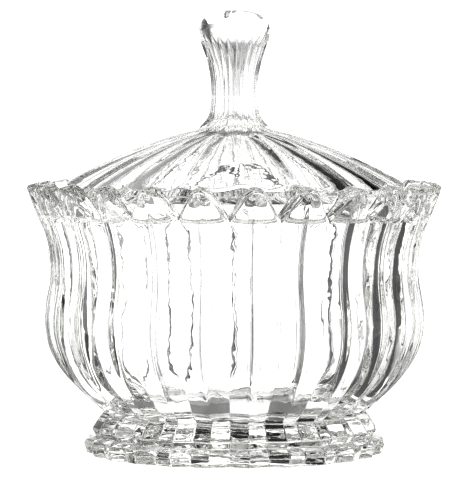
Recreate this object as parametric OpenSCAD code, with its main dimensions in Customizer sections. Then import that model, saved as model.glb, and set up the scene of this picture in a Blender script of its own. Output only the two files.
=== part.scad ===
// Covered candy dish in clear pressed glass.
// The bowl is one piece with its stepped foot and its crown of rounded teeth.
// The lid is one piece with its skirt, its fluted stem and its knob.

/* [Foot] */
// Radius of the foot at its widest tier, over the ribs
foot_r = 54.7; // [50:0.1:60]
// Radius of the foot where it meets the table, over the ribs
foot_base_r = 53.2; // [49:0.1:58]
// Radius of the groove between the two tiers, over the ribs
foot_groove_r = 50.2; // [46:0.1:53]
// Radius of the upper tier at its lower edge, over the ribs
foot_tier_r = 51.8; // [48:0.1:55]
// Radius of the upper tier at its top edge, over the ribs
foot_top_r = 48.9; // [46:0.1:52]
// Height of the widest line of the lower tier
foot_edge_h = 3.4; // [2:0.1:4.4]
// Height of the lower tier
foot_lower_h = 5.1; // [4.6:0.1:5.7]
// Height of the groove
foot_groove_h = 6.1; // [5.8:0.1:7]
// Height of the upper tier's lower edge
foot_tier_h = 8.7; // [7.5:0.1:10]
// Height of the upper tier's top edge
foot_top_h = 13.2; // [11:0.1:14]
// Height of the whole foot
foot_h = 14.7; // [14.2:0.1:18]
// Depth of the V grooves between the ribs of the foot
foot_flute = 2; // [0.5:0.1:3]
// Radius of the hollow under the foot
hollow_r = 38; // [20:0.5:44]
// Height of the hollow under the foot
hollow_h = 4; // [1:0.5:8]

/* [Bowl] */
// Number of ribs, and of teeth in the crown
rib_count = 24; // [12:1:32]
// Turn of the ribs about the upright axis, in degrees
rib_turn = 5.7; // [0:0.1:15]
// Radius of the neck above the foot, over the ribs
neck_r = 47.3; // [44:0.1:50]
// Radius of the belly, over the ribs
belly_r = 69; // [65:0.1:76]
// Height of the belly above the foot
belly_h = 33.7; // [28:0.1:42]
// Radius of the waist, over the ribs
waist_r = 67; // [64:0.1:74]
// Height of the waist above the belly
waist_h = 17.6; // [12:0.1:24]
// Radius of the rim, over the ribs
rim_r = 75; // [71:0.1:82]
// Height of the crown's tips above the waist
flare_h = 32; // [27:0.1:40]
// Slope of the rim, outwards from upright, in degrees
rim_slope = 19; // [8:1:28]
// Height of the narrow bead on each rib of the wall
bead_h = 1.2; // [0.4:0.1:2]
// Half width of a bead where it meets the panels
bead_w = 1.4; // [0.8:0.1:1.7]
// Height above the foot where the beads begin
bead_start_h = 9; // [2:0.5:12]
// Height over which the beads grow out of the foot's V grooves
bead_grow_h = 12; // [6:0.5:20]
// Depth of the shallow V that two flat panels make between the beads
panel_v = 1.2; // [0.4:0.1:2]
// Depth of the grooves between the ribs at the rim
rim_flute = 3.4; // [0.6:0.1:4]
// Thickness of the wall behind the panels' V, at the waist
wall = 10.1; // [6:0.1:12]
// Draft of the inner wall below the waist, in degrees
draft = 1; // [0:0.5:3]
// How far the inner wall opens from the waist up to the ledge
mouth_flare = 3.5; // [1:0.1:4]
// Thickness of the floor above the hollow
floor_t = 17.5; // [10:0.5:24]
// Radius of the inner corner between wall and floor
well_corner = 20; // [8:0.5:26]

/* [Crown] */
// Radius of the round top of each tooth
arch_r = 5.6; // [4:0.1:6.5]
// Slope of the tooth's straight sides, in degrees
flank = 56; // [50:1:62]
// Radius of the rounded outer edge of the teeth
edge_r = 1.6; // [0.8:0.1:3]
// Thickness of a tooth at its tip
crown_w = 6.6; // [5:0.1:9]
// Drop of the tooth's top from its inner edge to its outer edge
crown_drop = 0.9; // [0:0.1:2]
// Height of the notches above the shelf inside the crown
notch_rise = 0.4; // [0.2:0.1:2]
// Height below the ledge where the ribs begin to swell into the crown's lobes
lobe_run = 3; // [1:0.5:10]

/* [Seat] */
// Width of the ledge that the lid stands on
seat_w = 3; // [2:0.1:5]
// Depth of the ledge below the shelf
seat_d = 0.6; // [0.4:0.1:2]
// Width of the shelf round the ledge
shelf_w = 2; // [0.6:0.1:3]
// Gap between the lid's skirt and the step round the ledge
lid_gap = 0.6; // [0.3:0.1:1.2]

/* [Lid] */
// Number of hollow flutes on the lid
lid_flutes = 18; // [10:1:24]
// Turn of the lid's flutes about the upright axis, in degrees
lid_turn = 2.6; // [0:0.1:20]
// Height of the skirt below the lid's edge
skirt_h = 7.2; // [5:0.1:12]
// Thickness of the skirt
skirt_t = 5; // [4:0.1:7]
// How far the lid's edge stands out over the skirt
lid_lip = 1; // [0.4:0.1:2]
// Height of the lid's edge at the ridges
lid_edge_h = 3.4; // [2.8:0.1:5]
// Rise of the lid from its edge to the collar of the knob
lid_rise = 18.9; // [12:0.1:26]
// Rise of the lid's curve above a straight cone, halfway up
lid_crown = 2; // [0:0.1:3]
// Depth of the flutes at the lid's edge
lid_flute = 1.6; // [0.5:0.1:2.4]
// Depth of the flutes at the collar
lid_flute_top = 0.6; // [0.2:0.1:1.2]
// Thickness of the lid, measured upright from the bottom of its flutes
lid_t = 4.2; // [3:0.1:6]

/* [Knob] */
// Number of flutes on the stem
stem_flutes = 24; // [12:1:28]
// Radius of the flared collar at the foot of the stem
collar_r = 14; // [11:0.1:16]
// Height of the collar
collar_h = 8; // [5:0.1:11]
// Radius of the stem at its waist
stem_r = 8.3; // [6:0.1:10]
// Height of the stem's waist above the lid
stem_waist_h = 12; // [11:0.1:16]
// Radius of the knob
knob_r = 13; // [11:0.1:17]
// Height of the knob's widest line above the lid
knob_h = 36; // [30:0.1:46]
// Height of the domed top above the knob's widest line
dome_h = 7.3; // [4:0.1:12]
// Share of fullness of the dome: 1 is an ellipse, and a smaller share is flatter on top
dome_full = 0.75; // [0.5:0.05:1]
// Depth of the flutes on the stem
stem_flute = 1.1; // [0.2:0.1:1.6]
// Depth of the flutes where the collar meets the lid
collar_flute = 1.8; // [0.4:0.1:2.4]

/* [Hidden] */
$fn = 128;

glass = [0.86, 0.89, 0.87, 0.45];
overcut = 1;
// Direction that turns are counted from, towards the viewer
front_a = -90;

// Heights of the bowl, from the table up
belly_z = foot_h + belly_h;
waist_z = belly_z + waist_h;
crown_z = waist_z + flare_h;
rib_pitch_a = 360 / rib_count;
rib_pitch = 2 * rim_r * sin(rib_pitch_a / 2);
notch_d = arch_drop(rib_pitch / 2, 0);
shelf_z = crown_z - notch_d - notch_rise;
seat_z = shelf_z - seat_d;

// Radii of the inside of the bowl, and of what the lid fits
well_r = waist_r - bead_h - panel_v - wall;
mouth_r = well_r + mouth_flare;
seat_r = mouth_r + seat_w;
shelf_r = seat_r + shelf_w;
crown_in_r = rim_r - crown_w;
floor_z = hollow_h + floor_t;

// Sizes of the lid that follow the seat
skirt_r = seat_r - lid_gap;
skirt_in_r = skirt_r - skirt_t;
lid_r = skirt_r + lid_lip;
lid_edge_z = seat_z + skirt_h;
lid_ridge_z = lid_edge_z + lid_edge_h;
lid_top_z = lid_ridge_z + lid_rise;
knob_z = lid_top_z + knob_h;

// Counts of rows along the curves
belly_rows = 6;
waist_rows = 3;
flare_rows = 5;
lid_rows = 8;
collar_rows = 4;
stem_rows = 6;
dome_rows = 5;

// Point at share t of a curve from a to d that leaves towards b and arrives from c
function bezier(a, b, c, d, t) =
    pow(1 - t, 3) * a + 3 * t * pow(1 - t, 2) * b + 3 * t * t * (1 - t) * c + pow(t, 3) * d;

// How far the tooth's outline lies below its tip, s from its middle, for an outline set in by inset
function arch_drop(s, inset) =
    let (r = arch_r - inset)
    abs(s) <= r * sin(flank)
        ? arch_r - sqrt(r * r - s * s)
        : arch_r - r * cos(flank) + (abs(s) - r * sin(flank)) * tan(flank);

// Share of the flute's depth at place u between two crests: a V, a round lobe and a hollow groove
function groove_v(u) = 2 * abs(u);
function groove_lobe(u) = (1 - cos(360 * u)) / 2;
function groove_hollow(u) = 1 - pow(1 - 2 * abs(u), 2);

// Places between two crests, from -1/2 to 1/2, with the crest at 0
rib_arc = arch_r * sin(flank) / rib_pitch;
rib_arc_mid = arch_r * sin(flank / 2) / rib_pitch;
bead_place = bead_w / (2 * waist_r * sin(rib_pitch_a / 2));
rib_places = [-rib_arc, -rib_arc_mid, -bead_place, 0, bead_place, rib_arc_mid, rib_arc, 1 / 2];
lid_places = [-1 / 3, -1 / 6, 0, 1 / 6, 1 / 3, 1 / 2];
stem_places = [-1 / 4, 0, 1 / 4, 1 / 2];

// Point at radius r and height z in direction a
function around(r, a, z) = [r * cos(a), r * sin(a), z];

// Profile of the foot over the ribs, from below the table up to the neck
foot_profile = [
    [foot_base_r, -overcut],
    [foot_r, foot_edge_h],
    [foot_r - (foot_lower_h - foot_edge_h) / 2, foot_lower_h],
    [foot_groove_r, foot_groove_h],
    [foot_tier_r, foot_tier_h],
    [foot_top_r, foot_top_h],
    [neck_r, foot_h]
];

// Profile of the wall over the ribs, as three curves that meet upright at belly and waist
neck_pull = 14;
belly_pull = 15;
neck_slope = 41;
wall_pull = 0.4;
neck_point = [neck_r, foot_h];
belly_point = [belly_r, belly_z];
waist_point = [waist_r, waist_z];
rim_point = [rim_r, crown_z - crown_drop - edge_r];

function belly_curve(t) = bezier(
    neck_point, neck_point + neck_pull * [cos(neck_slope), sin(neck_slope)],
    belly_point - [0, belly_pull], belly_point, t);

function waist_curve(t) = bezier(
    belly_point, belly_point + [0, wall_pull * waist_h],
    waist_point - [0, wall_pull * waist_h], waist_point, t);

function flare_curve(t) = bezier(
    waist_point, waist_point + [0, wall_pull * flare_h],
    rim_point - wall_pull * flare_h * [tan(rim_slope), 1], rim_point, t);

// Share of the way from low to high that z has gone, between 0 and 1
function share(z, low, high) = max(0, min(1, (z - low) / (high - low)));

// Depth below the top of a bead at place u, with a flat panel on each side of the bead
function beaded(u) = bead_h * min(1, abs(u) / bead_place) + panel_v * groove_v(u);

// Depth of the wall's grooves at height z and place u: the foot's V grooves turn into beads and panels
// above the foot, and these into round lobes in the crown
bead_start_z = foot_h + bead_start_h;
lobe_start_z = seat_z - lobe_run;
function wall_groove(z, u) =
    let (bead = share(z, bead_start_z, bead_start_z + bead_grow_h))
    let (lobe = share(z, lobe_start_z, rim_point[1]))
    (1 - lobe) * ((1 - bead) * foot_flute * groove_v(u) + bead * beaded(u))
        + lobe * rim_flute * groove_lobe(u);

wall_profile = concat(
    [for (k = [1:belly_rows]) belly_curve(k / belly_rows)],
    [for (k = [1:waist_rows]) waist_curve(k / waist_rows)]);

// Points of the flare up to the crown's edge, and its radius over the ribs at height z
flare_points = [for (k = [0:flare_rows]) flare_curve(k / flare_rows)];
function flare_r(z) = lookup(z, [for (p = flare_points) [p[1], p[0]]]);

// The lowest point that the crown's rounded edge reaches, in the notches
edge_low_z = crown_z - crown_drop - arch_drop(rib_pitch / 2, edge_r);
flare_profile = [for (p = flare_points) if (p[1] > waist_z && p[1] < edge_low_z - overcut) p];

// Every ring of the bowl's outside, as a list of points at the places between the ribs
rib_angles = [
    for (k = [0:rib_count - 1], u = rib_places) [(k + u) * rib_pitch_a + front_a + rib_turn, u]
];

function foot_ring(p) = [
    for (q = rib_angles) around(p[0] - foot_flute * groove_v(q[1]), q[0], p[1])
];

function wall_ring(p) = [
    for (q = rib_angles) around(p[0] - wall_groove(p[1], q[1]), q[0], p[1])
];

// A ring of the crown's outer edge, set in by inset along the outline and by back towards the axis
function edge_ring(inset, back) = [
    for (q = rib_angles)
        let (z = crown_z - crown_drop - arch_drop(q[1] * rib_pitch, inset))
        let (low = crown_z - crown_drop - arch_drop(q[1] * rib_pitch, edge_r))
        around(flare_r(low) - wall_groove(low, q[1]) - back, q[0], z)
];

// The crown's inner edge, on the slope between the shelf and the tips
function crown_inner_r(z) = shelf_r + (crown_in_r - shelf_r) * (z - shelf_z) / (crown_z - shelf_z);

inner_edge_ring = [
    for (q = rib_angles)
        let (z = crown_z - arch_drop(q[1] * rib_pitch, 0))
        around(crown_inner_r(z), q[0], z)
];

shelf_ring = [for (q = rib_angles) around(shelf_r, q[0], shelf_z)];

edge_turn = 1 - cos(45);
bowl_rings = concat(
    [for (p = foot_profile) foot_ring(p)],
    [for (p = concat(wall_profile, flare_profile)) wall_ring(p)],
    [
        edge_ring(edge_r, 0),
        edge_ring(edge_r * edge_turn, edge_r * edge_turn),
        edge_ring(0, edge_r),
        inner_edge_ring,
        shelf_ring
    ]);

// A solid through a stack of closed rings that turn the same way, flat below and with its top's middle
// at height top, level with the last ring or above it
module stack(rings, top) {
    n = len(rings[0]);
    m = len(rings);
    low = [0, 0, rings[0][0][2]];
    high = [0, 0, top];
    points = concat([for (ring = rings, p = ring) p], [low, high]);
    sides = [
        for (j = [0:m - 2], i = [0:n - 1])
            let (k = (i + 1) % n)
            each [
                [j * n + i, (j + 1) * n + i, (j + 1) * n + k],
                [j * n + i, (j + 1) * n + k, j * n + k]
            ]
    ];
    ends = [
        for (i = [0:n - 1])
            let (k = (i + 1) % n)
            each [[m * n, i, k], [m * n + 1, (m - 1) * n + k, (m - 1) * n + i]]
    ];
    polyhedron(points, concat(sides, ends));
}

// Radius of the well at height z above the waist, where it opens with the outside of the bowl
function well_flare_r(z) =
    well_r + mouth_flare * (flare_r(z) - waist_r) / (flare_r(seat_z) - waist_r);

// Half section of the space inside the bowl, with the ledge for the lid
module well_section() {
    wall_low_r = well_r - (waist_z - floor_z - well_corner) * tan(draft);
    corner = [wall_low_r - well_corner, floor_z + well_corner];
    polygon(concat(
        [[0, floor_z]],
        [for (a = [-90:15:0]) corner + well_corner * [cos(a), sin(a)]],
        [for (p = flare_points) if (p[1] < seat_z - overcut) [well_flare_r(p[1]), p[1]]],
        [
            [mouth_r, seat_z],
            [seat_r, seat_z],
            [seat_r, shelf_z + overcut],
            [0, shelf_z + overcut]
        ]));
}

// Half section of the shallow hollow under the foot
module hollow_section() {
    round_r = (hollow_r * hollow_r + hollow_h * hollow_h) / (2 * hollow_h);
    intersection() {
        translate([0, hollow_h - round_r])
            circle(r = round_r);
        translate([0, -overcut])
            square([hollow_r, hollow_h + overcut]);
    }
}

// Bowl, foot and crown in one piece
module bowl() {
    color(glass)
    difference() {
        stack(bowl_rings, shelf_z);
        rotate_extrude()
            well_section();
        rotate_extrude()
            hollow_section();
        translate([0, 0, -2 * overcut])
            cylinder(r = foot_r + overcut, h = 2 * overcut);
    }
}

// Profile of the lid's ridges from its edge to the collar
function lid_ridge(t) =
    [lid_r + (collar_r - lid_r) * t, lid_ridge_z + lid_rise * t + 4 * lid_crown * t * (1 - t)];

function lid_depth(t) = lid_flute + (lid_flute_top - lid_flute) * t;

lid_angles = [
    for (k = [0:lid_flutes - 1], u = lid_places) [(k + u) * 360 / lid_flutes + front_a + lid_turn, u]
];

function lid_ring(t) =
    let (p = lid_ridge(t))
    [for (q = lid_angles) around(p[0], q[0], p[1] - lid_depth(t) * groove_hollow(q[1]))];

// The lid's top ring lies inside the collar, which covers it
collar_cover = 0.7;
collar_under = collar_cover * collar_r;
lid_rings = concat(
    [[for (q = lid_angles) around(lid_r, q[0], lid_edge_z)]],
    [for (k = [0:lid_rows]) lid_ring(k / lid_rows)],
    [[for (q = lid_angles) around(collar_under, q[0], lid_top_z)]]);

// Profile of the stem and knob: flared collar, waisted stem, swelling head and low dome
stem_waist_z = lid_top_z + stem_waist_h;
collar_point = [collar_r, lid_top_z];
stem_swell = 0.4;
collar_top = [stem_r + stem_swell, lid_top_z + collar_h];
stem_point = [stem_r, stem_waist_z];
knob_point = [knob_r, knob_z];

// Pulls of the two curves' ends, as shares of the curve's width and height
collar_leave = [-0.5, 0.25];
collar_arrive = 0.4;
stem_leave = 0.62;
head_arrive = [0.12, 0.3];

function collar_curve(t) = bezier(
    collar_point, collar_point + [collar_leave[0] * (collar_r - stem_r), collar_leave[1] * collar_h],
    collar_top - [0, collar_arrive * collar_h], collar_top, t);

function stem_curve(t) =
    let (size = knob_point - stem_point)
    bezier(
        stem_point, stem_point + [0, stem_leave * size[1]],
        knob_point - [head_arrive[0] * size[0], head_arrive[1] * size[1]], knob_point, t);

function dome_point(a) = [knob_r * pow(cos(a), dome_full), knob_z + dome_h * sin(a)];

stem_angles = [
    for (k = [0:stem_flutes - 1], u = stem_places) [(k + u) * 360 / stem_flutes + front_a + lid_turn, u]
];

function stem_ring(p, depth) = [
    for (q = stem_angles) around(p[0] - depth * groove_hollow(q[1]), q[0], p[1])
];

// Flute depth on collar and stem, which runs out towards the knob's widest line
flute_out = 0.15;
function stem_depth(z) =
    let (stem = share(z, lid_top_z, lid_top_z + collar_h))
    (collar_flute + (stem_flute - collar_flute) * stem) * min(1, (knob_z - z) / (flute_out * knob_h));

dome_end = 90 - 60 / dome_rows;
knob_profile = concat(
    [[collar_r, lid_top_z - 2 * lid_flute_top]],
    [for (k = [0:collar_rows]) collar_curve(k / collar_rows)],
    [for (k = [0:stem_rows]) stem_curve(k / stem_rows)]);

knob_rings = concat(
    [for (p = knob_profile) stem_ring(p, stem_depth(p[1]))],
    [for (k = [1:dome_rows]) stem_ring(dome_point(dome_end * k / dome_rows), 0)]);

// Half section of the hollow under the lid, which follows the bottom of the flutes
module lid_hollow_section() {
    under = [
        for (k = [0:lid_rows])
            let (t = k / lid_rows)
            let (p = lid_ridge(t))
            [p[0] * skirt_in_r / lid_r, p[1] - lid_depth(t) - lid_t]
    ];
    polygon(concat(
        [[0, seat_z - overcut], [skirt_in_r, seat_z - overcut]],
        under,
        [[0, under[lid_rows][1]]]));
}

// Lid, skirt, stem and knob in one piece
module lid() {
    color(glass)
    difference() {
        union() {
            stack(lid_rings, lid_top_z);
            stack(knob_rings, knob_z + dome_h);
            translate([0, 0, seat_z])
                cylinder(r = skirt_r, h = skirt_h + overcut);
        }
        rotate_extrude()
            lid_hollow_section();
    }
}

bowl();
lid();
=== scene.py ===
# %% [markdown]
# # A covered candy dish in clear pressed glass
# The real dish is two pieces of glass: a ribbed bowl that stands on its own stepped foot, and a
# fluted lid with a tall knob. Glass has almost no colour of its own. What the eye sees is the room,
# bent by the ribs, so the shape has to be smooth and exact before any material can look right.
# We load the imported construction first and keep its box, because nothing may grow past it.

# %% Load the frame and keep its size
import math

import bpy
import numpy as np
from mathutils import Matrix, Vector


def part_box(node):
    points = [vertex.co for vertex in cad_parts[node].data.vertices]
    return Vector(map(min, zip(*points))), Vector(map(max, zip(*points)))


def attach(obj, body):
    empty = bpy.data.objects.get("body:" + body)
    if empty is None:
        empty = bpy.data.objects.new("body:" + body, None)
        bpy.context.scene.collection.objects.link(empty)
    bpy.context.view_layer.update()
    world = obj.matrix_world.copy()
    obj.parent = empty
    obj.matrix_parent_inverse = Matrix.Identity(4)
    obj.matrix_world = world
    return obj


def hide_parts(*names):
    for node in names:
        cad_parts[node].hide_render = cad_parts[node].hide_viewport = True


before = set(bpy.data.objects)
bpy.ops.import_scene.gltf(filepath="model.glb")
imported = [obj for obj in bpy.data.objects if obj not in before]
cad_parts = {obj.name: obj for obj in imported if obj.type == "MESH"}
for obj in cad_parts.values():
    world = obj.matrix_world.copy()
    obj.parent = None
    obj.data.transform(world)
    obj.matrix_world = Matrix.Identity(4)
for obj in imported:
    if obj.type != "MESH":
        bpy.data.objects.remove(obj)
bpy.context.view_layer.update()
MM = 0.001

# %% [markdown]
# ## Curves that a glass mould is drawn with
# A mould maker draws a half section with a few tangent curves and rounds every corner, because molten
# glass can't fill a sharp one. Curve objects could be drawn by hand, but points from a formula stay
# exact when a size changes. Three helpers are enough: one spaces values evenly, one samples a smooth
# curve between two points, and one takes a row of corners and rounds each of them.

# %% Helpers for half sections
CORNER_SHARE, CORNER_STEPS = 0.45, 4


def between(first, last, count):
    """Evenly spaced values from first to last, both ends included."""
    return np.linspace(first, last, count)


def curve(start, leave, arrive, end, count):
    """Points on a smooth curve from start to end, without the start, shaped by two handles."""
    t = between(0, 1, count + 1)[1:, None]
    a, b, c, d = (np.array(p, float) for p in (start, leave, arrive, end))
    return (1 - t) ** 3 * a + 3 * t * (1 - t) ** 2 * b + 3 * t**2 * (1 - t) * c + t**3 * d


def rounded(corners, radius):
    """The corner points joined by straight lines, with every inner corner rounded."""
    corners = [np.array(p, float) for p in corners]
    path = [corners[0]]
    for before, corner, after in zip(corners, corners[1:], corners[2:]):
        back, ahead = before - corner, after - corner
        back_length, ahead_length = np.linalg.norm(back), np.linalg.norm(ahead)
        reach = min(radius, CORNER_SHARE * back_length, CORNER_SHARE * ahead_length)
        start = corner + back / back_length * reach
        end = corner + ahead / ahead_length * reach
        for t in between(0, 1, CORNER_STEPS + 1):
            path.append((1 - t) ** 2 * start + 2 * t * (1 - t) * corner + t**2 * end)
    path.append(corners[-1])
    return np.array(path)


print("curve ends at", curve((0, 0), (0, 1), (1, 1), (1, 2), 4)[-1])

# %% [markdown]
# ## The bowl's main sizes
# These are the construction's own sizes in millimetres: the neck above the foot, the belly, the waist
# and the crown. The heights stack up from the table, so the crown's tips come out at the top of the
# packed bowl, and the last line prints both for comparison.

# %% Heights and radii of the bowl
RIBS = 24
FOOT_H, BELLY_H, WAIST_H, FLARE_H = 14.7, 33.7, 17.6, 32.0
NECK_R, BELLY_R, WAIST_R, RIM_R = 47.3, 69.0, 67.0, 74.97
BELLY_Z = FOOT_H + BELLY_H
WAIST_Z = BELLY_Z + WAIST_H
CROWN_Z = WAIST_Z + FLARE_H
bowl_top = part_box("bowl")[1][2]
print("crown at", round(CROWN_Z, 2), "packed bowl's top at", round(bowl_top / MM, 2))

# %% [markdown]
# ## Ribs
# Round the wall, flat panels meet in a shallow V in line with each notch, and a narrow rounded bead
# runs down the middle of each tooth, where two panels meet. In the foot the beads sink into a plain
# zigzag, and in the crown they swell into round lobes. Such ribs could be cut with booleans, but clear
# glass shows every stray facet. Formulas that give the depth at each place across a rib stay smooth.

# %% Depths across a rib
PANEL_V = 1.2
BEAD_H, BEAD_W = 1.2, 1.0
CREST_ROUND = 0.006


def zigzag(place):
    """Depth share of a V groove with a soft crest at place 0 and a soft bottom at place 1/2."""
    soft = np.arccos((1 - CREST_ROUND) * np.cos(2 * np.pi * place)) / np.pi
    least = math.acos(1 - CREST_ROUND) / math.pi
    return (soft - least) / (1 - 2 * least)


def beaded(place):
    """Depth in mm between two beads, below the top of the bead at place 0."""
    aside = np.abs(place) * 2 * math.pi * WAIST_R / RIBS
    return BEAD_H * (1 - np.exp(-((aside / BEAD_W) ** 2))) + PANEL_V * zigzag(place)


def lobe(place):
    """Depth share of a groove between two round lobes."""
    return (1 - np.cos(2 * np.pi * place)) / 2


print("depth between two beads", round(float(beaded(0.5)), 2), "mm")

# %% [markdown]
# ## The outline of a tooth
# Each tooth of the crown is a round arch with straight flanks, and two flanks meet in a softly rounded
# notch. Seen from the front this is a flat outline, so one formula tells how far it has dropped below
# the tip at each place. The shelf and the seat for the lid lie just below the notches, so their heights
# follow from the notch.

# %% Outline of a tooth
ARCH_R, FLANK, NOTCH_ROUND = 5.6, math.radians(56), 0.5
NOTCH_RISE, SEAT_D = 0.4, 0.6
RIB_PITCH = 2 * RIM_R * math.sin(math.pi / RIBS)


def tooth_drop(place, inset):
    """How far a tooth's outline lies below its tip at this place, for an outline set in by inset."""
    aside = np.abs(place) * RIB_PITCH
    arch = ARCH_R - inset
    arch_end = arch * math.sin(FLANK)
    top = ARCH_R - np.sqrt(np.maximum(arch * arch - np.minimum(aside, arch_end) ** 2, 0))
    run = (RIB_PITCH / 2 - aside) * math.tan(FLANK)
    full_run = (RIB_PITCH / 2 - arch_end) * math.tan(FLANK)
    soft_run = np.hypot(run, NOTCH_ROUND) - math.hypot(full_run, NOTCH_ROUND)
    side = ARCH_R - arch * math.cos(FLANK) - soft_run
    return np.where(aside <= arch_end, top, side)


flank_width = RIB_PITCH / 2 - ARCH_R * math.sin(FLANK)
NOTCH_D = ARCH_R * (1 - math.cos(FLANK)) + flank_width * math.tan(FLANK)
SHELF_Z = CROWN_Z - NOTCH_D - NOTCH_RISE
SEAT_Z = SHELF_Z - SEAT_D
print("notch depth", round(NOTCH_D, 2), "lid stands at", round(SEAT_Z, 2))

# %% [markdown]
# ## One rib, then twenty-four
# Modelling the whole bowl at once would mean selecting thousands of faces. A mould is cut rib by rib, so
# we do the same: a flat grid is laid out once and bent into one rib with its foot, tooth and inner wall.
# The grid's columns stand closer together at the crest and in the groove, where the surface turns most.

# %% Bend a grid into one sector
CROWDING = 0.7


def places(count):
    """Places across one rib from -1/2 to 1/2, closer together at the crest and in the groove."""
    even = between(-0.5, 0.5, count + 1)
    return even - CROWDING / (4 * math.pi) * np.sin(4 * math.pi * even)


def gore(name, rows, across, sector, turn):
    """One sector of a piece. A row is a radius and a height in mm, given at every place across it."""
    columns, lines = len(across) - 1, len(rows) - 1
    bpy.ops.object.select_all(action="DESELECT")
    bpy.ops.mesh.primitive_grid_add(x_subdivisions=columns, y_subdivisions=lines, size=1)
    piece = bpy.context.object
    piece.name = name
    mesh = piece.data
    flat = np.empty(len(mesh.vertices) * 3)
    mesh.vertices.foreach_get("co", flat)
    flat = flat.reshape(-1, 3)
    column = np.rint((flat[:, 0] + 0.5) * columns).astype(int)
    row = np.rint((flat[:, 1] + 0.5) * lines).astype(int)
    radius = np.array([np.broadcast_to(r, across.shape) for r, z in rows])[row, column]
    height = np.array([np.broadcast_to(z, across.shape) for r, z in rows])[row, column]
    angle = math.radians(turn) + across[column] * sector
    bent = np.stack([radius * np.sin(angle), -radius * np.cos(angle), height], axis=1) * MM
    mesh.vertices.foreach_set("co", bent.ravel())
    mesh.update()
    return piece


print("places across a rib", np.round(places(8), 3))

# %% [markdown]
# ## Round the axis
# Spin copies the sector round the upright axis, as an Array with a turning object would, but it needs no
# helper object. Merging the seams leaves one closed skin. Its faces are turned outwards, because the
# renderer has to know which side is glass, and weighted normals keep the wide faces even.

# %% Spin and measure
MERGE = 0.002


def spin_round(piece, copies):
    """Copies a sector round the upright axis, merges the seams and turns the faces outwards."""
    step = 2 * math.pi / copies
    bpy.ops.object.mode_set(mode="EDIT")
    bpy.ops.mesh.select_all(action="SELECT")
    bpy.ops.mesh.spin(
        steps=copies - 1, dupli=True, angle=step * (copies - 1), center=(0, 0, 0), axis=(0, 0, 1)
    )
    bpy.ops.mesh.select_all(action="SELECT")
    bpy.ops.mesh.remove_doubles(threshold=MERGE * MM)
    bpy.ops.mesh.normals_make_consistent(inside=False)
    bpy.ops.object.mode_set(mode="OBJECT")
    bpy.ops.object.shade_smooth()
    bpy.ops.object.modifier_add(type="WEIGHTED_NORMAL")
    bpy.ops.object.modifier_apply(modifier=piece.modifiers[-1].name)
    return piece


def measure(piece):
    """Prints a piece's faces, open edges and box in mm, to see that its skin is closed."""
    mesh = piece.data
    uses = np.zeros(len(mesh.edges), int)
    loops = np.empty(len(mesh.loops), int)
    mesh.loops.foreach_get("edge_index", loops)
    np.add.at(uses, loops, 1)
    spots = np.empty(len(mesh.vertices) * 3)
    mesh.vertices.foreach_get("co", spots)
    spots = spots.reshape(-1, 3) / MM
    triangles = sum(len(face.vertices) - 2 for face in mesh.polygons)
    open_edges = int((uses != 2).sum())
    print(piece.name, triangles, "triangles", open_edges, "open edges", spots.min(0), spots.max(0))


print("seams closer than", MERGE, "mm are merged")

# %% [markdown]
# ## The foot
# The foot was pressed with the bowl. A shallow hollow underneath leaves a ring to stand on, and outside
# the foot climbs in tiers that the zigzag cuts into facets. A row is one line round the bowl. The rows
# start in the middle of the hollow and follow the half section, as if ring after ring were extruded, but
# the radius of a row may also change with the place across the rib.

# %% Rows of the foot
RIB_COLUMNS, HOLLOW_ROWS = 24, 8
FOOT_FLUTE, FOOT_ROUND = 2.0, 0.5
HOLLOW_R, HOLLOW_H = 38.0, 4.0
FOOT_BASE_R, FOOT_R, FOOT_GROOVE_R, FOOT_TIER_R, FOOT_TOP_R = 53.54, 54.7, 50.2, 51.8, 48.9
FOOT_EDGE_H, FOOT_LOWER_H, FOOT_GROOVE_H, FOOT_TIER_H, FOOT_TOP_H = 3.4, 5.1, 6.1, 8.7, 13.2
FOOT_LOWER_R = FOOT_R - (FOOT_LOWER_H - FOOT_EDGE_H) / 2
RING_R = HOLLOW_R + 4
across_rib = places(RIB_COLUMNS)
round_r = (HOLLOW_R**2 + HOLLOW_H**2) / (2 * HOLLOW_H)
hollow_turn = math.asin(HOLLOW_R / round_r)
bowl_rows = []
for angle in between(0, hollow_turn, HOLLOW_ROWS):
    bowl_rows.append((round_r * math.sin(angle), HOLLOW_H - round_r * (1 - math.cos(angle))))
# The last corner only gives the direction in which the wall leaves the neck, and is dropped again.
WALL_OUT, WALL_UP = 1.5, 1.3
foot_line = rounded(
    [
        (RING_R, 0),
        (FOOT_BASE_R, 0),
        (FOOT_R, FOOT_EDGE_H),
        (FOOT_LOWER_R, FOOT_LOWER_H),
        (FOOT_GROOVE_R, FOOT_GROOVE_H),
        (FOOT_TIER_R, FOOT_TIER_H),
        (FOOT_TOP_R, FOOT_TOP_H),
        (NECK_R, FOOT_H),
        (NECK_R + WALL_OUT, FOOT_H + WALL_UP),
    ],
    FOOT_ROUND,
)[:-1]
for radius, height in foot_line:
    fade = np.clip((radius - HOLLOW_R) / (NECK_R - FOOT_FLUTE - HOLLOW_R), 0, 1)
    bowl_rows.append((radius - FOOT_FLUTE * fade * zigzag(across_rib), height))
print(len(bowl_rows), "rows up to the neck")

# %% [markdown]
# ## The wall up to the waist
# Above the foot the wall swells like a tulip to the belly and draws in again to the waist. Two smooth
# curves are enough for this. On the way up, the zigzag of the foot gives way to panels and beads, so each
# row blends the two depths by its height. A blend has no edge that the glass could show.

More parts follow.
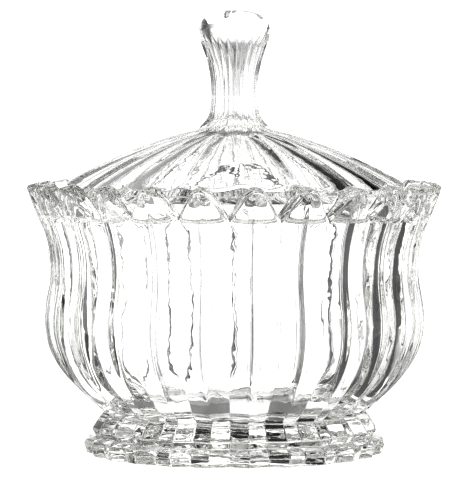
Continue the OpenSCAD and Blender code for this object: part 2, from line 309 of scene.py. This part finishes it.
# %% Rows up to the waist
NECK_PULL, NECK_SLOPE, BELLY_PULL, WAIST_PULL = 14, math.radians(41), 15, 7
BELLY_ROWS, WAIST_ROWS = 16, 8
RIB_GROW_Z, RIB_FULL_Z = 23.7, 35.7
belly_line = curve(
    (NECK_R, FOOT_H),
    (NECK_R + NECK_PULL * math.cos(NECK_SLOPE), FOOT_H + NECK_PULL * math.sin(NECK_SLOPE)),
    (BELLY_R, BELLY_Z - BELLY_PULL),
    (BELLY_R, BELLY_Z),
    BELLY_ROWS,
)[1:]
waist_line = curve(
    (BELLY_R, BELLY_Z),
    (BELLY_R, BELLY_Z + WAIST_PULL),
    (WAIST_R, WAIST_Z - WAIST_PULL),
    (WAIST_R, WAIST_Z),
    WAIST_ROWS,
)
for radius, height in [*belly_line, *waist_line]:
    mix = np.clip((height - RIB_GROW_Z) / (RIB_FULL_Z - RIB_GROW_Z), 0, 1)
    foot_depth = (1 - mix) * FOOT_FLUTE * zigzag(across_rib)
    bowl_rows.append((radius - foot_depth - mix * beaded(across_rib), height))
print(len(bowl_rows), "rows up to the waist")

# %% [markdown]
# ## The flare below the teeth
# From the waist the wall opens out to the crown, and near the rim the beads grow into round lobes, one
# for each tooth. Level rows would be cut off by the teeth's outline. So each row here is a share of the
# way from the waist to that outline, and the last ones already wave up and down with the teeth.

# %% Rows of the flare
EDGE_R, CROWN_DROP = 1.6, 0.9
RIM_Z = CROWN_Z - CROWN_DROP - EDGE_R
RIM_SLOPE, RIM_FLUTE, LOBE_RUN = math.radians(19), 3.4, 3.0
FLARE_POINTS, FLARE_STEPS = 40, 16
flare_pull = 0.4 * FLARE_H
flare_line = curve(
    (WAIST_R, WAIST_Z),
    (WAIST_R, WAIST_Z + flare_pull),
    (RIM_R - flare_pull * math.tan(RIM_SLOPE), RIM_Z - flare_pull),
    (RIM_R, RIM_Z),
    FLARE_POINTS,
)


def flare_r(z):
    """Radius over the ribs at height z between the waist and the rim."""
    return np.interp(z, [WAIST_Z, *flare_line[:, 1]], [WAIST_R, *flare_line[:, 0]])


def wall_groove(z, place):
    """Depth of the groove at height z: beads and panels that turn into lobes at the rim."""
    start = SEAT_Z - LOBE_RUN
    mix = np.clip((z - start) / (RIM_Z - start), 0, 1)
    return (1 - mix) * beaded(place) + mix * RIM_FLUTE * lobe(place)


edge_z = CROWN_Z - CROWN_DROP - tooth_drop(across_rib, EDGE_R)
for share in between(0, 1, FLARE_STEPS + 1)[1:-1]:
    height = WAIST_Z + (edge_z - WAIST_Z) * share
    bowl_rows.append((flare_r(height) - wall_groove(height, across_rib), height))
print(len(bowl_rows), "rows up to the teeth")

# %% [markdown]
# ## The teeth
# A tooth has a rounded outer edge, a top that rises a little inwards and a softly rounded inner edge,
# from which a plain sloping face runs down to the shelf. A Bevel modifier would pinch in the notches. So
# the rounded edges are made of rows too, each set a little further in along the outline.

# %% Rows of the teeth
EDGE_ROWS = 8
edge_r = flare_r(edge_z) - wall_groove(edge_z, across_rib)
for angle in between(0, math.pi / 2, EDGE_ROWS):
    outline = tooth_drop(across_rib, EDGE_R * (1 - math.sin(angle)))
    bowl_rows.append((edge_r - EDGE_R * (1 - math.cos(angle)), CROWN_Z - CROWN_DROP - outline))
CROWN_W, MOUTH_R, SEAT_W, SHELF_W = 6.6, 58.0, 3.0, 2.0
SEAT_R = MOUTH_R + SEAT_W
SHELF_R = SEAT_R + SHELF_W


def inner_face_r(z):
    """Radius of the teeth's inner faces at height z, on the slope from the shelf to the tips."""
    return SHELF_R + (RIM_R - CROWN_W - SHELF_R) * (z - SHELF_Z) / (CROWN_Z - SHELF_Z)


INNER_ROUND, SHELF_CLEAR, TIP_CROWDING = 0.8, 0.12, 1.6
TOP_SHARES, ROUND_SHARES, FACE_SHARES = (0.08, 0.5, 0.92), (0.35, 0.7, 1.0), (0.3, 0.65, 0.95)
inner_back = 0.3 * INNER_ROUND
outer_r, outer_z = bowl_rows[-1]
tip_z = CROWN_Z - tooth_drop(across_rib, 0)
inner_r = inner_face_r(tip_z) + inner_back
for share in TOP_SHARES:
    bowl_rows.append((outer_r + (inner_r - outer_r) * share, outer_z + (tip_z - outer_z) * share))
inner_low = np.maximum(CROWN_Z - tooth_drop(across_rib, INNER_ROUND), SHELF_Z + SHELF_CLEAR)
for share in ROUND_SHARES:
    height = tip_z + (inner_low - tip_z) * share**TIP_CROWDING
    bowl_rows.append((inner_face_r(height) + inner_back * (1 - share) ** 2, height))
for share in FACE_SHARES:
    height = inner_low + (SHELF_Z - inner_low) * share
    bowl_rows.append((inner_face_r(height), height))
print(len(bowl_rows), "rows down to the shelf")

# %% [markdown]
# ## The ledge and the well
# Inside the teeth, a flat shelf and a small step hold the lid. Below the step the well follows the
# outside down to the waist. From there it runs nearly straight and turns through a large corner into the
# flat floor. It has no ribs and one degree of draft, because the plunger of the press has to come out.

# %% Rows of the ledge and the well
DRAFT, WELL_R, WELL_CORNER, FLOOR_T = math.radians(1), 54.5, 20.0, 17.5
FLOOR_Z = HOLLOW_H + FLOOR_T
well_low_z = FLOOR_Z + WELL_CORNER
well_low_r = WELL_R - (WAIST_Z - well_low_z) * math.tan(DRAFT)


def well_r(z):
    """Radius of the well at height z: drafted up to the waist, then opening out to the mouth."""
    opened = (flare_r(z) - WAIST_R) / (flare_r(SEAT_Z) - WAIST_R)
    return WELL_R + (MOUTH_R - WELL_R) * opened - np.maximum(WAIST_Z - z, 0) * math.tan(DRAFT)


LEDGE_ROUND, MOUTH_DEPTH = 0.35, 2
WELL_ROWS, CORNER_ROWS = 24, 16
well_top_z = SEAT_Z - MOUTH_DEPTH
ledge_line = rounded(
    [
        (SHELF_R, SHELF_Z),
        (SEAT_R, SHELF_Z),
        (SEAT_R, SEAT_Z),
        (MOUTH_R, SEAT_Z),
        (well_r(well_top_z), well_top_z),
    ],
    LEDGE_ROUND,
)
bowl_rows += [tuple(p) for p in ledge_line]
for height in between(well_top_z, well_low_z, WELL_ROWS)[1:]:
    bowl_rows.append((well_r(height), height))
for angle in between(0, math.pi / 2, CORNER_ROWS)[1:]:
    radius = well_low_r - WELL_CORNER * (1 - math.cos(angle))
    bowl_rows.append((radius, FLOOR_Z + WELL_CORNER * (1 - math.sin(angle))))
for share in (0.75, 0.5, 0.25, 0.0):
    bowl_rows.append(((well_low_r - WELL_CORNER) * share, FLOOR_Z))
print(len(bowl_rows), "rows to the middle of the floor")

# %% [markdown]
# ## The whole bowl
# The rows are laid on the grid, and the rib is turned to the place that it has in the construction, where
# no tooth points straight at the camera. Spin then makes twenty-four of it. The print should show no
# open edges, because light that slips in through a gap isn't bent on its way into the glass.

# %% Make the bowl
RIB_TURN = 5.7
bowl_glass = spin_round(
    gore("bowl_glass", bowl_rows, across_rib, 2 * math.pi / RIBS, RIB_TURN), RIBS
)
measure(bowl_glass)

# %% [markdown]
# ## The lid's main sizes
# The lid stands on the seat with a skirt, a little smaller than the step round it. Above the edge of the
# cover come the collar, the stem and the knob, all in one piece of glass. The heights stack up from the
# seat, and the last line prints the knob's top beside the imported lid's top.

# %% Sizes of the lid
LID_GAP, SKIRT_H, SKIRT_T, LID_LIP, LID_EDGE_H = 0.6, 7.2, 5.0, 1.0, 3.4
LID_RISE, KNOB_H, DOME_H = 18.9, 36.0, 7.28
SKIRT_R = SEAT_R - LID_GAP
SKIRT_IN_R = SKIRT_R - SKIRT_T
LID_R = SKIRT_R + LID_LIP
LID_EDGE_Z = SEAT_Z + SKIRT_H
LID_RIDGE_Z = LID_EDGE_Z + LID_EDGE_H
LID_TOP_Z = LID_RIDGE_Z + LID_RISE
KNOB_Z = LID_TOP_Z + KNOB_H
lid_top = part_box("lid")[1][2]
print("knob's top at", round(KNOB_Z + DOME_H, 2), "packed lid's top at", round(lid_top / MM, 2))

# %% [markdown]
# ## The lid's flutes
# The cover has eighteen hollow flutes between slightly rounded ridges, and the stem has twenty-four finer
# ones. Both counts can be divided by six, so one sixth of the lid, with three flutes of the cover and
# four of the stem, is the sector that Spin repeats.

# %% Places and depths across a sixth
LID_FLUTES, STEM_FLUTES, SIXTHS = 18, 24, 6
LID_COLUMNS = 72
RIDGE_ROUND, HOLLOWNESS = 0.03, 2


def flute(place, power, ridge_round):
    """Depth share of a hollow flute between two slightly rounded ridges at places 0 and 1."""
    soft = (np.hypot(place, ridge_round) - ridge_round) / (math.hypot(0.5, ridge_round) - ridge_round)
    return 1 - (1 - soft) ** power


across_sixth = between(-0.5, 0.5, LID_COLUMNS + 1)
lid_place = (across_sixth * LID_FLUTES / SIXTHS + 0.5) % 1 - 0.5
stem_place = (across_sixth * STEM_FLUTES / SIXTHS + 0.5) % 1 - 0.5
lid_groove = flute(lid_place, HOLLOWNESS, RIDGE_ROUND)
stem_groove = flute(stem_place, HOLLOWNESS, RIDGE_ROUND)
print("deepest share of a flute", round(float(lid_groove.max()), 3))

# %% [markdown]
# ## Under the lid
# The underside of the cover is smooth and follows the ridges at an even thickness. It ends in the skirt
# that stands on the seat. The rows run from the axis outwards and down, round the skirt and up to the
# cover's edge. A hair's breadth is left below the skirt, so that no two faces of glass share one plane.

# %% Rows under the lid
LID_CROWN, LID_FLUTE, LID_FLUTE_TOP, LID_T, COLLAR_R = 2.0, 1.6, 0.6, 4.2, 14.0
UNDER_ROWS, REST_GAP, SKIRT_ROUND = 20, 0.08, 0.4
SKIRT_TOP_STEP, EDGE_STEP = 0.4, 0.9
under_share = SKIRT_IN_R / LID_R


def ridge(t):
    """Point of the lid's ridge line at share t from the edge to the collar."""
    bulge = 4 * LID_CROWN * t * (1 - t)
    return LID_R + (COLLAR_R - LID_R) * t, LID_RIDGE_Z + LID_RISE * t + bulge


def flute_depth(t):
    """Depth of the cover's flutes at share t."""
    return LID_FLUTE + (LID_FLUTE_TOP - LID_FLUTE) * t


def underside(t):
    """Point of the cover's smooth underside at share t."""
    radius, height = ridge(t)
    return radius * under_share, height - flute_depth(t) - LID_T


middle_r, middle_z = underside(1)
lid_rows = [(middle_r * share, middle_z) for share in (0, 0.4, 0.8)]
lid_rows += [underside(t) for t in between(1, 0, UNDER_ROWS)]
skirt_line = rounded(
    [
        (SKIRT_IN_R, LID_RIDGE_Z - LID_FLUTE - LID_T - SKIRT_TOP_STEP),
        (SKIRT_IN_R, SEAT_Z + REST_GAP),
        (SKIRT_R, SEAT_Z + REST_GAP),
        (SKIRT_R, LID_EDGE_Z),
        (LID_R, LID_EDGE_Z),
        (LID_R, LID_EDGE_Z + EDGE_STEP),
    ],
    SKIRT_ROUND,
)
lid_rows += [tuple(p) for p in skirt_line]
print(len(lid_rows), "rows up to the cover's edge")

# %% [markdown]
# ## The fluted cover
# On the real lid the flutes end in the upright edge, which therefore rises to a point at each ridge. The
# rows of the edge stretch up to that wavy line and round it softly. From there the rows climb along
# the ridges, each cut by the hollows, which get shallower towards the collar.

# %% Rows of the cover
EDGE_SOFT, EDGE_SOFT_ROWS, COVER_ROWS = 0.45, 5, 34
brim_z = LID_RIDGE_Z - LID_FLUTE * lid_groove
brim_rise = brim_z - EDGE_SOFT - LID_EDGE_Z - EDGE_STEP
for share in (0.5, 0.9):
    lid_rows.append((LID_R, LID_EDGE_Z + EDGE_STEP + brim_rise * share))
for angle in between(0, math.pi / 2, EDGE_SOFT_ROWS):
    radius = LID_R - EDGE_SOFT * (1 - math.cos(angle))
    lid_rows.append((radius, brim_z - EDGE_SOFT * (1 - math.sin(angle))))
for t in between(0, 1, COVER_ROWS)[1:]:
    radius, height = ridge(t)
    lid_rows.append((radius, height - flute_depth(t) * lid_groove))
print(len(lid_rows), "rows up to the collar")

# %% [markdown]
# ## Collar, stem and knob
# The collar sweeps up into a slim stem, and the stem widens again to the knob under its flat dome. The
# stem's flutes start in the collar within a few rows and run out below the dome. Two curves and a
# flattened quarter round give the half section, and the rows add the flutes, as on the cover.

# %% Rows of collar, stem and knob
COLLAR_H, STEM_R, STEM_WAIST_H, KNOB_R, DOME_FULL = 8.0, 8.3, 12.0, 13.0, 0.75
STEM_FLUTE, COLLAR_FLUTE, RUN_OUT = 1.1, 1.8, 0.15
COLLAR_ROWS, GROW_ROWS, STEM_ROWS, DOME_ROWS = 12, 3, 30, 16
# The handles of the two curves, as shares of the way between their ends.
COLLAR_IN, COLLAR_UP, COLLAR_ARRIVE = 0.5, 0.25, 0.6
STEM_LEAVE, KNOB_IN, KNOB_DOWN = 0.62, 0.12, 0.3
# The collar ends a little wider than the stem's waist, and one row between them eases the step.
COLLAR_WIDER, EASE_WIDER, EASE_DOWN = 0.4, 0.1, 2
collar_line = curve(
    (COLLAR_R, LID_TOP_Z),
    (COLLAR_R - COLLAR_IN * (COLLAR_R - STEM_R), LID_TOP_Z + COLLAR_UP * COLLAR_H),
    (STEM_R + COLLAR_WIDER, LID_TOP_Z + COLLAR_ARRIVE * COLLAR_H),
    (STEM_R + COLLAR_WIDER, LID_TOP_Z + COLLAR_H),
    COLLAR_ROWS,
)
for row, (radius, height) in enumerate(collar_line):
    grown = min(1, (row + 1) / GROW_ROWS)
    depth = COLLAR_FLUTE + (STEM_FLUTE - COLLAR_FLUTE) * (height - LID_TOP_Z) / COLLAR_H
    left_over = LID_FLUTE_TOP * (1 - grown) * lid_groove
    lid_rows.append((radius - depth * grown * stem_groove, height - left_over))
stem_z = LID_TOP_Z + STEM_WAIST_H
stem_line = curve(
    (STEM_R, stem_z),
    (STEM_R, stem_z + STEM_LEAVE * (KNOB_Z - stem_z)),
    (KNOB_R - KNOB_IN * (KNOB_R - STEM_R), KNOB_Z - KNOB_DOWN * (KNOB_Z - stem_z)),
    (KNOB_R, KNOB_Z),
    STEM_ROWS,
)
ease = (STEM_R + EASE_WIDER, stem_z - EASE_DOWN)
for radius, height in [ease, (STEM_R, stem_z), *stem_line]:
    depth = STEM_FLUTE * min(1, (KNOB_Z - height) / (RUN_OUT * KNOB_H))
    lid_rows.append((radius - depth * stem_groove, height))
for angle in between(0, math.pi / 2, DOME_ROWS)[1:]:
    dome_r = KNOB_R * abs(math.cos(angle)) ** DOME_FULL
    lid_rows.append((dome_r, KNOB_Z + DOME_H * math.sin(angle)))
print(len(lid_rows), "rows to the top of the dome")

# %% [markdown]
# ## The whole lid
# One sixth of the lid is bent from the grid, turned as in the construction and copied six times. The
# copies are made as for the bowl, so the seams close in the same way.

# %% Make the lid
LID_TURN = 2.6
lid_glass = spin_round(
    gore("lid_glass", lid_rows, across_sixth, 2 * math.pi / SIXTHS, LID_TURN), SIXTHS
)
measure(lid_glass)

# %% [markdown]
# ## Clear pressed glass
# Light goes through soda glass at about two thirds of its speed in air, so its index is 1.52. Looking
# along a thick wall shows a faint olive tint, which an absorbing volume gives only where the light has a
# long way to go. A pressed face is never quite even: a slow noise in the bump tilts it by about a
# degree, which breaks the lines that the ribs draw. Modelling this unevenness would need far more faces.

# %% The glass material
GLASS_INDEX = 1.52
TINT, TINT_DENSITY = (0.80, 0.82, 0.72, 1), 1.5
UNEVEN_SCALE, UNEVEN_DETAIL = 120, 2
UNEVEN_STRENGTH, UNEVEN_DEPTH = 0.13, 1 * MM


def clear_glass(name):
    """Smooth clear glass with a faint body tint and the slight waviness of a pressed surface."""
    material = bpy.data.materials.new(name)
    material.use_nodes = True
    nodes, links = material.node_tree.nodes, material.node_tree.links
    shader = nodes["Principled BSDF"]
    shader.inputs["Base Color"].default_value = (1, 1, 1, 1)
    shader.inputs["Transmission Weight"].default_value = 1
    shader.inputs["Roughness"].default_value = 0
    shader.inputs["IOR"].default_value = GLASS_INDEX
    volume = nodes.new("ShaderNodeVolumeAbsorption")
    volume.inputs["Color"].default_value = TINT
    volume.inputs["Density"].default_value = TINT_DENSITY
    links.new(volume.outputs["Volume"], nodes["Material Output"].inputs["Volume"])
    where = nodes.new("ShaderNodeTexCoord")
    uneven = nodes.new("ShaderNodeTexNoise")
    uneven.inputs["Scale"].default_value = UNEVEN_SCALE
    uneven.inputs["Detail"].default_value = UNEVEN_DETAIL
    bump = nodes.new("ShaderNodeBump")
    bump.inputs["Strength"].default_value = UNEVEN_STRENGTH
    bump.inputs["Distance"].default_value = UNEVEN_DEPTH
    links.new(where.outputs["Object"], uneven.inputs["Vector"])
    links.new(uneven.outputs["Fac"], bump.inputs["Height"])
    links.new(bump.outputs["Normal"], shader.inputs["Normal"])
    return material


glass = clear_glass("clear_pressed_glass")
print("made", glass.name)

# %% [markdown]
# ## Glass on the dish
# Both new pieces take the place of their solids in the construction. The bowl rides on the dish, and the
# lid rides on the cover, so the lid goes along when the cover is lifted. The solids get the same glass.

# %% Put the glass on and let it ride
for piece, node, body in ((bowl_glass, "bowl", "dish"), (lid_glass, "lid", "cover")):
    piece.data.materials.append(glass)
    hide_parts(node)
    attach(piece, body)
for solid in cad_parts.values():
    solid.data.materials.clear()
    solid.data.materials.append(glass)
print("glass on", bowl_glass.name, lid_glass.name)

# %% [markdown]
# ## The table
# The dish stands on a pale table that is lit so brightly that it shows no shadow. A plane that gives off
# its own white light does the same. It lies a hair below the foot, so that no two faces share one plane.

# %% The lit table
TABLE_SIZE, TABLE_DROP = 12.0, 0.3 * MM
TABLE_GREY, TABLE_ROUGH, TABLE_LIGHT = 0.35, 0.9, 1.3
bpy.ops.object.select_all(action="DESELECT")
bpy.ops.mesh.primitive_plane_add(size=TABLE_SIZE)
table = bpy.context.object
table.name = "table"
for corner in table.data.vertices:
    corner.co.z = -TABLE_DROP
white = bpy.data.materials.new("lit_white_table")
white.use_nodes = True
white_shader = white.node_tree.nodes["Principled BSDF"]
white_shader.inputs["Base Color"].default_value = (TABLE_GREY, TABLE_GREY, TABLE_GREY, 1)
white_shader.inputs["Roughness"].default_value = TABLE_ROUGH
white_shader.inputs["Emission Color"].default_value = (1, 1, 1, 1)
white_shader.inputs["Emission Strength"].default_value = TABLE_LIGHT
table.data.materials.append(white)
print("table", TABLE_SIZE, "m wide")

# %% [markdown]
# ## Cards that draw the edges of the glass
# Clear glass on a white table would vanish. Photographers lay dark cards just outside the picture, and
# the ribs pick them up as dark lines. Here a dark card on the right is painted shade, where the dish's
# shadow falls to the right, and a short, darker one under the back right of the dish is the dish's
# painted shadow. A pale one lies in front. The camera doesn't see them: only light that has gone
# through the glass does. Each is one plane whose corners are moved to their places, in metres.

# %% Cards in front, on the right and at the back
CARD_DROP = TABLE_DROP / 3
FAR = TABLE_SIZE / 2


def card(name, corners, light):
    """A four-cornered card on the table that only the glass sees, giving off an even light."""
    bpy.ops.object.select_all(action="DESELECT")
    bpy.ops.mesh.primitive_plane_add(size=1)
    sheet = bpy.context.object
    sheet.name = name
    for vertex, (x, y) in zip(sheet.data.vertices, corners):
        vertex.co = (x, y, -CARD_DROP)
    paper = bpy.data.materials.new(name)
    paper.use_nodes = True
    shader = paper.node_tree.nodes["Principled BSDF"]
    shader.inputs["Base Color"].default_value = (0, 0, 0, 1)
    shader.inputs["Specular IOR Level"].default_value = 0
    shader.inputs["Emission Color"].default_value = (1, 1, 1, 1)
    shader.inputs["Emission Strength"].default_value = light
    sheet.data.materials.append(paper)
    sheet.visible_camera = False
    sheet.visible_diffuse = False
    sheet.visible_shadow = False
    return paper.node_tree


# The right card is painted shade: it gives off less light than the table where the dish's shadow falls to
# the right.
FRONT_LIGHT, RIGHT_SHADE_LIGHT, PAINTED_SHADOW_LIGHT = 0.95, 0.2, 0.04
FRONT_Y, RIGHT_X, RIGHT_END_Y = -0.07, 0.06, 0.1
BACK_X, BACK_Y = 0.035, 0.07
front_corners = [(-1.2, -FAR), (FAR, -FAR), (-0.04, FRONT_Y), (FAR, FRONT_Y)]
shaded_right_corners = [(RIGHT_X, FRONT_Y), (FAR, FRONT_Y), (RIGHT_X, RIGHT_END_Y), (0.65 * FAR, FAR)]
# The short back card is a painted shadow: the dish's own shadow on the table at its back right.
painted_shadow_corners = [(0, 0), (BACK_X, 0), (0, BACK_Y), (BACK_X, BACK_Y)]
card("front_card", front_corners, FRONT_LIGHT)
card("painted_shade_right_card", shaded_right_corners, RIGHT_SHADE_LIGHT)
card("painted_shadow_card", painted_shadow_corners, PAINTED_SHADOW_LIGHT)
print("cards give", FRONT_LIGHT, RIGHT_SHADE_LIGHT, PAINTED_SHADOW_LIGHT, "where the table gives", TABLE_LIGHT)

# %% [markdown]
# ## A bright card and a narrow dark one on the left
# The left side of the glass is bright, but its outline needs a thin dark line. A bright card lies on the
# left, and a narrow dark flag behind it. The flag's two edges are shares of a turn round the dish: left
# at 0 and 1, camera's side at 0.25, right at 0.5, back at 0.75. The room uses the same shares later.

# %% Cards on the left
FLAG_FROM, FLAG_TO, NEAR = 0.90, 0.95, 0.1
LEFT_LIGHT, FLAG_LIGHT = 1.4, 0.3


def on_table(turn, radius):
    """The place on the table at this share of a turn and this far from the dish's axis."""
    angle = 2 * math.pi * (turn - 0.5)
    return radius * math.cos(angle), radius * math.sin(angle)


flag_near = [on_table(FLAG_TO, NEAR), on_table(FLAG_FROM, NEAR)]
flag_far = [on_table(FLAG_TO, FAR), on_table(FLAG_FROM, FAR)]
left_corners = [(-3, -1), (-0.08, -0.1), on_table(FLAG_TO, FAR), on_table(FLAG_TO, NEAR)]
card("left_card", left_corners, LEFT_LIGHT)
card("flag_card", flag_near + flag_far, FLAG_LIGHT)
print("flag from", FLAG_FROM, "to", FLAG_TO, "of a turn")

# %% [markdown]
# ## Streaks of light under the foot
# The ribs gather the light that falls through the dish into bright streaks on the table, with dimmer
# places between them. The V grooves above the foot look straight down at these streaks, so each facet
# turns either white or grey. Tracing such gathered light takes very long. A sine wave across a card under
# the front of the foot stands in for it.

# %% Streaked card
STREAK_PITCH, STREAK_AT = 32 * MM, 6 * MM
STREAK_DIM, STREAK_BRIGHT, STREAK_SOFT = 0.4, 1.12, 0.3
STREAK_LEFT, STREAK_RIGHT = -0.055, 0.06
streak_front = [(STREAK_LEFT, FRONT_Y), (STREAK_RIGHT, FRONT_Y)]
streaks = card("streaked_card", streak_front + [(STREAK_LEFT, 0), (STREAK_RIGHT, 0)], 1.0)
spot = streaks.nodes.new("ShaderNodeTexCoord")
spot_axes = streaks.nodes.new("ShaderNodeSeparateXYZ")
phase = streaks.nodes.new("ShaderNodeMath")
phase.operation = "MULTIPLY_ADD"
phase.inputs[1].default_value = 2 * math.pi / STREAK_PITCH
phase.inputs[2].default_value = math.pi / 2 - 2 * math.pi * STREAK_AT / STREAK_PITCH
streak_wave = streaks.nodes.new("ShaderNodeMath")
streak_wave.operation = "SINE"
level = streaks.nodes.new("ShaderNodeMapRange")
level.inputs["From Min"].default_value = -STREAK_SOFT
level.inputs["From Max"].default_value = STREAK_SOFT
level.inputs["To Min"].default_value = STREAK_DIM
level.inputs["To Max"].default_value = STREAK_BRIGHT
streak_shader = streaks.nodes["Principled BSDF"]
streaks.links.new(spot.outputs["Object"], spot_axes.inputs["Vector"])
streaks.links.new(spot_axes.outputs["X"], phase.inputs[0])
streaks.links.new(phase.outputs["Value"], streak_wave.inputs[0])
streaks.links.new(streak_wave.outputs["Value"], level.inputs["Value"])
streaks.links.new(level.outputs["Result"], streak_shader.inputs["Emission Strength"])
print("streaks every", STREAK_PITCH / MM, "mm")

# %% [markdown]
# ## The room
# A white backdrop stands behind the dish and wraps round to the left. The camera's side is a little
# dimmer and a dark flag stands on the right, so one edge of each rib turns grey. A narrow flag at the
# back left draws the outline there. Real walls could do this, but a ramp round the world's directions is
# easier to tune: each stop is a share of a turn, as for the flag's card, and the light from there.

# %% Light from all round
FLAG_FADE = 0.01
RING = [
    (0.0, 1.6), (0.1, 1.4), (0.2, 0.9), (0.42, 0.9), (0.48, 0.2), (0.65, 0.2), (0.69, 1.3),
    (FLAG_FROM - FLAG_FADE, 1.4), (FLAG_FROM, 0.1),
    (FLAG_TO, 0.1), (FLAG_TO + FLAG_FADE, 1.5), (1.0, 1.6),
]
room = bpy.data.worlds.new("studio")
bpy.context.scene.world = room
room.use_nodes = True
sky, sky_links = room.node_tree.nodes, room.node_tree.links
direction = sky.new("ShaderNodeTexCoord")
round_turn = sky.new("ShaderNodeTexGradient")
round_turn.gradient_type = "RADIAL"
ring = sky.new("ShaderNodeValToRGB")
stops = ring.color_ramp.elements
while len(stops) < len(RING):
    stops.new(0.5)
for stop, (place, light) in zip(stops, RING):
    stop.position = place
    stop.color = (light, light, light, 1)
sky_links.new(direction.outputs["Generated"], round_turn.inputs["Vector"])
sky_links.new(round_turn.outputs["Fac"], ring.inputs["Fac"])
print("room with", len(RING), "stops")

# %% [markdown]
# ## Light from overhead
# The lid's flutes look up, so what they show is the light overhead. It is dimmer than the walls and
# fades from left to right, which shades the lid. The dimming sets in gradually with height: a direction
# is an arrow of length 1, and its Z share tells how steeply it points up.

# %% Overhead
OVERHEAD_FROM, OVERHEAD_FULL, OVERHEAD_REACH = 0.2, 0.5, 0.4
OVERHEAD_LEFT, OVERHEAD_RIGHT = 0.4, 0.03
sky_axes = sky.new("ShaderNodeSeparateXYZ")
upward = sky.new("ShaderNodeMapRange")
upward.inputs["From Min"].default_value = OVERHEAD_FROM
upward.inputs["From Max"].default_value = OVERHEAD_FULL
sideways = sky.new("ShaderNodeMapRange")
sideways.inputs["From Min"].default_value = -OVERHEAD_REACH
sideways.inputs["From Max"].default_value = OVERHEAD_REACH
sideways.inputs["To Min"].default_value = OVERHEAD_LEFT
sideways.inputs["To Max"].default_value = OVERHEAD_RIGHT
roof = sky.new("ShaderNodeMixRGB")
roof.inputs["Color1"].default_value = (1, 1, 1, 1)
dim = sky.new("ShaderNodeMixRGB")
dim.blend_type = "MULTIPLY"
dim.inputs["Fac"].default_value = 1
sky_links.new(direction.outputs["Generated"], sky_axes.inputs["Vector"])
sky_links.new(sky_axes.outputs["Z"], upward.inputs["Value"])
sky_links.new(sky_axes.outputs["X"], sideways.inputs["Value"])
sky_links.new(upward.outputs["Result"], roof.inputs["Fac"])
sky_links.new(sideways.outputs["Result"], roof.inputs["Color2"])
sky_links.new(ring.outputs["Color"], dim.inputs["Color1"])
sky_links.new(roof.outputs["Color"], dim.inputs["Color2"])
print("overhead from", OVERHEAD_LEFT, "on the left to", OVERHEAD_RIGHT, "on the right")

# %% [markdown]
# ## A plain backdrop for the camera
# The ring would show as grey stripes behind the dish. The Light Path node tells rays that come straight
# from the camera from those that have met the glass, so the camera itself sees only plain white.

# %% Backdrop
BACKDROP = 1.3
seen = sky.new("ShaderNodeLightPath")
plain = sky.new("ShaderNodeMixRGB")
plain.inputs["Color2"].default_value = (BACKDROP, BACKDROP, BACKDROP, 1)
sky_links.new(seen.outputs["Is Camera Ray"], plain.inputs["Fac"])
sky_links.new(dim.outputs["Color"], plain.inputs["Color1"])
sky_links.new(plain.outputs["Color"], sky["Background"].inputs["Color"])
print("backdrop gives", BACKDROP)

# %% [markdown]
# ## The camera
# The photograph was taken from about a metre away, from a little above the knob's collar. The places of
# the dish's axis, its base and the horizon are read off the picture in its pixels, with one pixel's width
# at the dish in millimetres. Height, tilt, lens and shift then follow, which is surer than turning the
# camera by eye.

# %% Camera at the photograph's viewing angle
PHOTO_W, PHOTO_H = 467, 480
AXIS_X, BASE_Y, HORIZON_Y = 234.5, 452.0, 95.0
PIXEL = 0.3614 * MM
CAMERA_DISTANCE = 3000 * PIXEL
SENSOR = 36
CLIP_NEAR, CLIP_FAR = 0.01, 50
camera_data = bpy.data.cameras.new("camera")
camera = bpy.data.objects.new("camera", camera_data)
bpy.context.scene.collection.objects.link(camera)
camera.location = (0, -CAMERA_DISTANCE, (BASE_Y - HORIZON_Y) * PIXEL)
camera_tilt = math.atan((PHOTO_H / 2 - HORIZON_Y) * PIXEL / CAMERA_DISTANCE)
camera.rotation_euler = (math.radians(90) - camera_tilt, 0, 0)
camera_data.sensor_fit = "AUTO"
camera_data.sensor_width = SENSOR
camera_data.lens = SENSOR * CAMERA_DISTANCE / (PHOTO_H * PIXEL)
camera_data.shift_x = (PHOTO_W / 2 - AXIS_X) / PHOTO_H
camera_data.clip_start = CLIP_NEAR
camera_data.clip_end = CLIP_FAR
bpy.context.scene.camera = camera
print("camera at", [round(c, 3) for c in camera.location], "lens", round(camera_data.lens, 1))

# %% [markdown]
# ## Enough bounces, and a hard print
# Light crosses ribbed glass many times before it leaves, and where the count of bounces runs out the
# picture turns black, so the limits are raised. The photograph is a hard, bright one. The Standard view
# keeps white as white, and a gamma below 1 deepens the greys of the ribs.

# %% Bounces and tones
BOUNCES, PRINT_GAMMA = 32, 0.6
scene = bpy.context.scene
scene.cycles.max_bounces = BOUNCES
scene.cycles.transmission_bounces = BOUNCES
scene.cycles.glossy_bounces = BOUNCES
scene.view_settings.view_transform = "Standard"
scene.view_settings.gamma = PRINT_GAMMA
print("bounces", BOUNCES, "gamma", PRINT_GAMMA)
